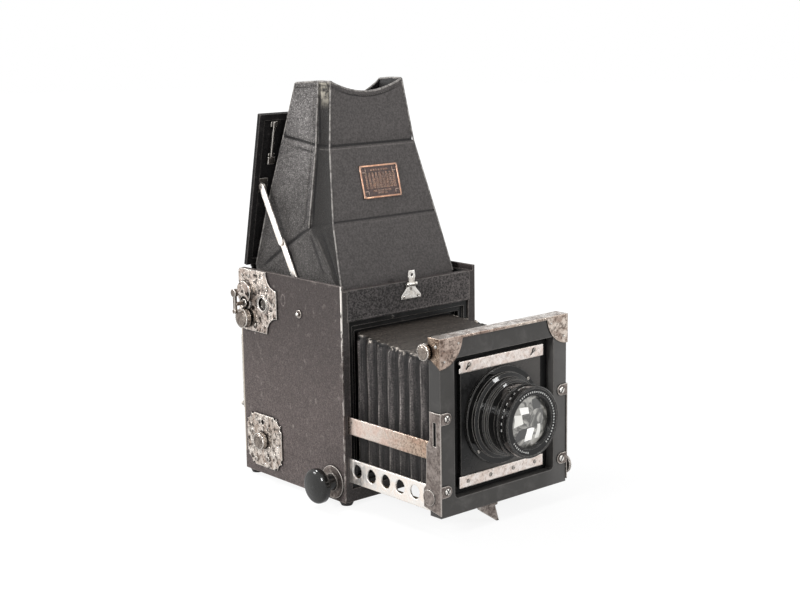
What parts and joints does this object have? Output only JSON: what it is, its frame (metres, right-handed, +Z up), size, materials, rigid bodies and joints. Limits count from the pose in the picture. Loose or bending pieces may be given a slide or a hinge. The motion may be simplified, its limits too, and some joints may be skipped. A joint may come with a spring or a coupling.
{
  "type": "large box reflex camera",
  "caption": "Leather covered box reflex camera with its front racked out on pleated bellows, lens standard, raised folding viewing hood, propped lid and nickel fittings.",
  "frame": {"origin": "centre of the mouth of the tripod bush in the underside of the base", "axes": "+X to the camera's left hand side as seen by someone facing its lens, which is the right side seen from behind the lens; -Y forwards out of the lens; +Z up"},
  "size_m": [0.2271, 0.3753, 0.447],
  "materials": {
    "covered_wood": "wooden panel covered in worn grained leather",
    "front_leather": "near black grained leather",
    "black_wood": "satin black wood with worn edges",
    "hood_leather": "soft dark grey leather, creased and worn at the folds",
    "bellows_leather": "thin black leather, pleated",
    "nickel": "aged nickel plate, mottled",
    "brass": "bare brass",
    "black_enamel": "gloss black enamel",
    "ebonite": "polished black ebonite",
    "roller_wood": "varnished wood",
    "curtain_cloth": "black rubberised cloth",
    "screen_glass": "finely ground glass",
    "lens_glass": "polished lens glass",
    "mirror": "surface silvered mirror",
    "copper_plate": "coppered plate on a dark ground"
  },
  "bodies": {
    "body": {"case": "covered_wood", "front_panel": "front_leather", "front_trim": "black_wood", "case_feet": "front_leather", "tripod_bush": "brass", "screen_frame": "black_wood", "ground_glass": "screen_glass", "shutter_frame": "black_wood", "curtain": "curtain_cloth", "back_frame": "covered_wood", "back_panel": "front_leather", "plate_upper": "nickel", "plate_lower": "nickel", "case_screws": "nickel", "side_collars": "nickel", "latch_base": "nickel", "hinge_body": "black_enamel", "hood": "hood_leather", "info_plate": "copper_plate", "bellows": "bellows_leather"},
    "standard": {"standard_frame": "black_wood", "standard_cap": "nickel", "side_plates": "nickel", "standard_screws": "nickel", "rails": "nickel", "racks": "brass", "braces": "nickel", "foot_bracket": "nickel"},
    "lens": {"rise_panel": "black_wood", "lens_board": "black_wood", "strip_lower": "nickel", "board_screws": "nickel", "lens_barrel": "black_enamel", "lens_glass": "lens_glass", "iris_leaves": "black_enamel"},
    "strip_upper": {"strip_upper": "nickel"},
    "aperture_ring": {"aperture_ring": "black_enamel"},
    "front_lock": {"front_lock": "nickel"},
    "rail_nut": {"rail_nut": "nickel"},
    "prop_foot": {"prop_foot": "nickel"},
    "focus": {"focus_knob": "ebonite", "focus_shaft": "brass"},
    "lid": {"lid": "covered_wood", "hinge_lid": "black_enamel", "stay_bracket": "nickel", "hood_strut": "nickel"},
    "stay_lower": {"stay_lower": "nickel"},
    "stay_upper": {"stay_upper": "nickel"},
    "latch_tongue": {"latch_tongue": "nickel"},
    "mirror": {"mirror_tray": "black_enamel", "mirror_glass": "mirror", "mirror_lever": "nickel"},
    "roller_upper": {"roller_upper": "roller_wood", "curtain_knob": "nickel"},
    "roller_lower": {"roller_lower": "roller_wood"},
    "winding_key": {"winding_key": "nickel"},
    "curtain_dial": {"curtain_dial": "black_enamel"},
    "tension_knob": {"tension_knob": "nickel"},
    "release_button": {"release_button": "nickel"},
    "back_lock": {"back_lock": "nickel"}
  },
  "joints": [
    {"name": "front_slide", "type": "slide", "parent": "body", "child": "standard", "axis": [0, 1, 0], "range_m": [0, 0.11], "deforming": ["bellows"]},
    {"name": "lens_rise", "type": "slide", "parent": "standard", "child": "lens", "axis": [0, 0, 1], "range_m": [-0.006, 0.0025]},
    {"name": "strip_slide", "type": "slide", "parent": "lens", "child": "strip_upper", "axis": [0.7071, 0, 0.7071], "range_m": [0, 0.005]},
    {"name": "aperture_turn", "type": "hinge", "parent": "lens", "child": "aperture_ring", "pos_m": [0, -0.2598, 0.108], "axis": [0, 1, 0], "range_deg": [-60, 60]},
    {"name": "front_lock_turn", "type": "hinge", "parent": "standard", "child": "front_lock", "pos_m": [-0.091, -0.2176, 0.186], "axis": [1, 0, 0], "range_deg": [0, 540]},
    {"name": "rail_nut_turn", "type": "hinge", "parent": "standard", "child": "rail_nut", "pos_m": [0.091, -0.228, 0.035], "axis": [1, 0, 0], "range_deg": [0, 540]},
    {"name": "prop_foot_fold", "type": "hinge", "parent": "standard", "child": "prop_foot", "pos_m": [-0.0195, -0.229, 0.0146], "axis": [1, 0, 0], "range_deg": [0, 85]},
    {"name": "focus_turn", "type": "hinge", "parent": "body", "child": "focus", "pos_m": [0, -0.071, 0.02], "axis": [1, 0, 0], "range_deg": [-1580, 0]},
    {"name": "lid_hinge", "type": "hinge", "parent": "body", "child": "lid", "pos_m": [0, 0.0885, 0.235], "axis": [1, 0, 0], "range_deg": [0, 78], "deforming": ["hood", "info_plate"]},
    {"name": "stay_lower_fold", "type": "hinge", "parent": "body", "child": "stay_lower", "pos_m": [-0.0832, -0.0067, 0.2105], "axis": [1, 0, 0], "range_deg": [-53, 0]},
    {"name": "stay_upper_fold", "type": "hinge", "parent": "lid", "child": "stay_upper", "pos_m": [-0.0853, 0.05823, 0.32673], "axis": [1, 0, 0], "range_deg": [0, 40]},
    {"name": "catch_swing", "type": "hinge", "parent": "body", "child": "latch_tongue", "pos_m": [0, -0.0932, 0.226], "axis": [1, 0, 0], "range_deg": [0, 110]},
    {"name": "mirror_swing", "type": "hinge", "parent": "body", "child": "mirror", "pos_m": [0, 0.056, 0.184], "axis": [1, 0, 0], "range_deg": [-45, 0]},
    {"name": "curtain_wind", "type": "hinge", "parent": "body", "child": "roller_upper", "pos_m": [0, 0.077, 0.179], "axis": [1, 0, 0], "range_deg": [0, 900]},
    {"name": "lower_roller_turn", "type": "hinge", "parent": "body", "child": "roller_lower", "pos_m": [0, 0.077, 0.032], "axis": [1, 0, 0], "range_deg": [0, 900]},
    {"name": "key_turn", "type": "hinge", "parent": "body", "child": "winding_key", "pos_m": [-0.1, 0.077, 0.196], "axis": [1, 0, 0], "range_deg": [-900, 0]},
    {"name": "dial_turn", "type": "hinge", "parent": "body", "child": "curtain_dial", "pos_m": [-0.095, 0.046, 0.198], "axis": [1, 0, 0], "range_deg": [0, 300]},
    {"name": "tension_turn", "type": "hinge", "parent": "body", "child": "tension_knob", "pos_m": [-0.1, 0.054, 0.04], "axis": [1, 0, 0], "range_deg": [0, 720]},
    {"name": "button_press", "type": "slide", "parent": "body", "child": "release_button", "axis": [1, 0, 0], "range_m": [0, 0.0025], "stiffness_N_per_m": 300},
    {"name": "back_lock_slide", "type": "slide", "parent": "body", "child": "back_lock", "axis": [0, 0, 1], "range_m": [0, 0.008]}
  ],
  "couplings": [
    {"joint": "focus_turn", "follows": "front_slide", "rad_per_m": -250},
    {"joint": "stay_lower_fold", "follows": "lid_hinge", "ratio": -0.65927},
    {"joint": "stay_upper_fold", "follows": "lid_hinge", "ratio": 0.49375},
    {"joint": "lower_roller_turn", "follows": "curtain_wind", "ratio": 1},
    {"joint": "key_turn", "follows": "curtain_wind", "ratio": -1},
    {"joint": "dial_turn", "follows": "curtain_wind", "ratio": 0.33333}
  ]
}
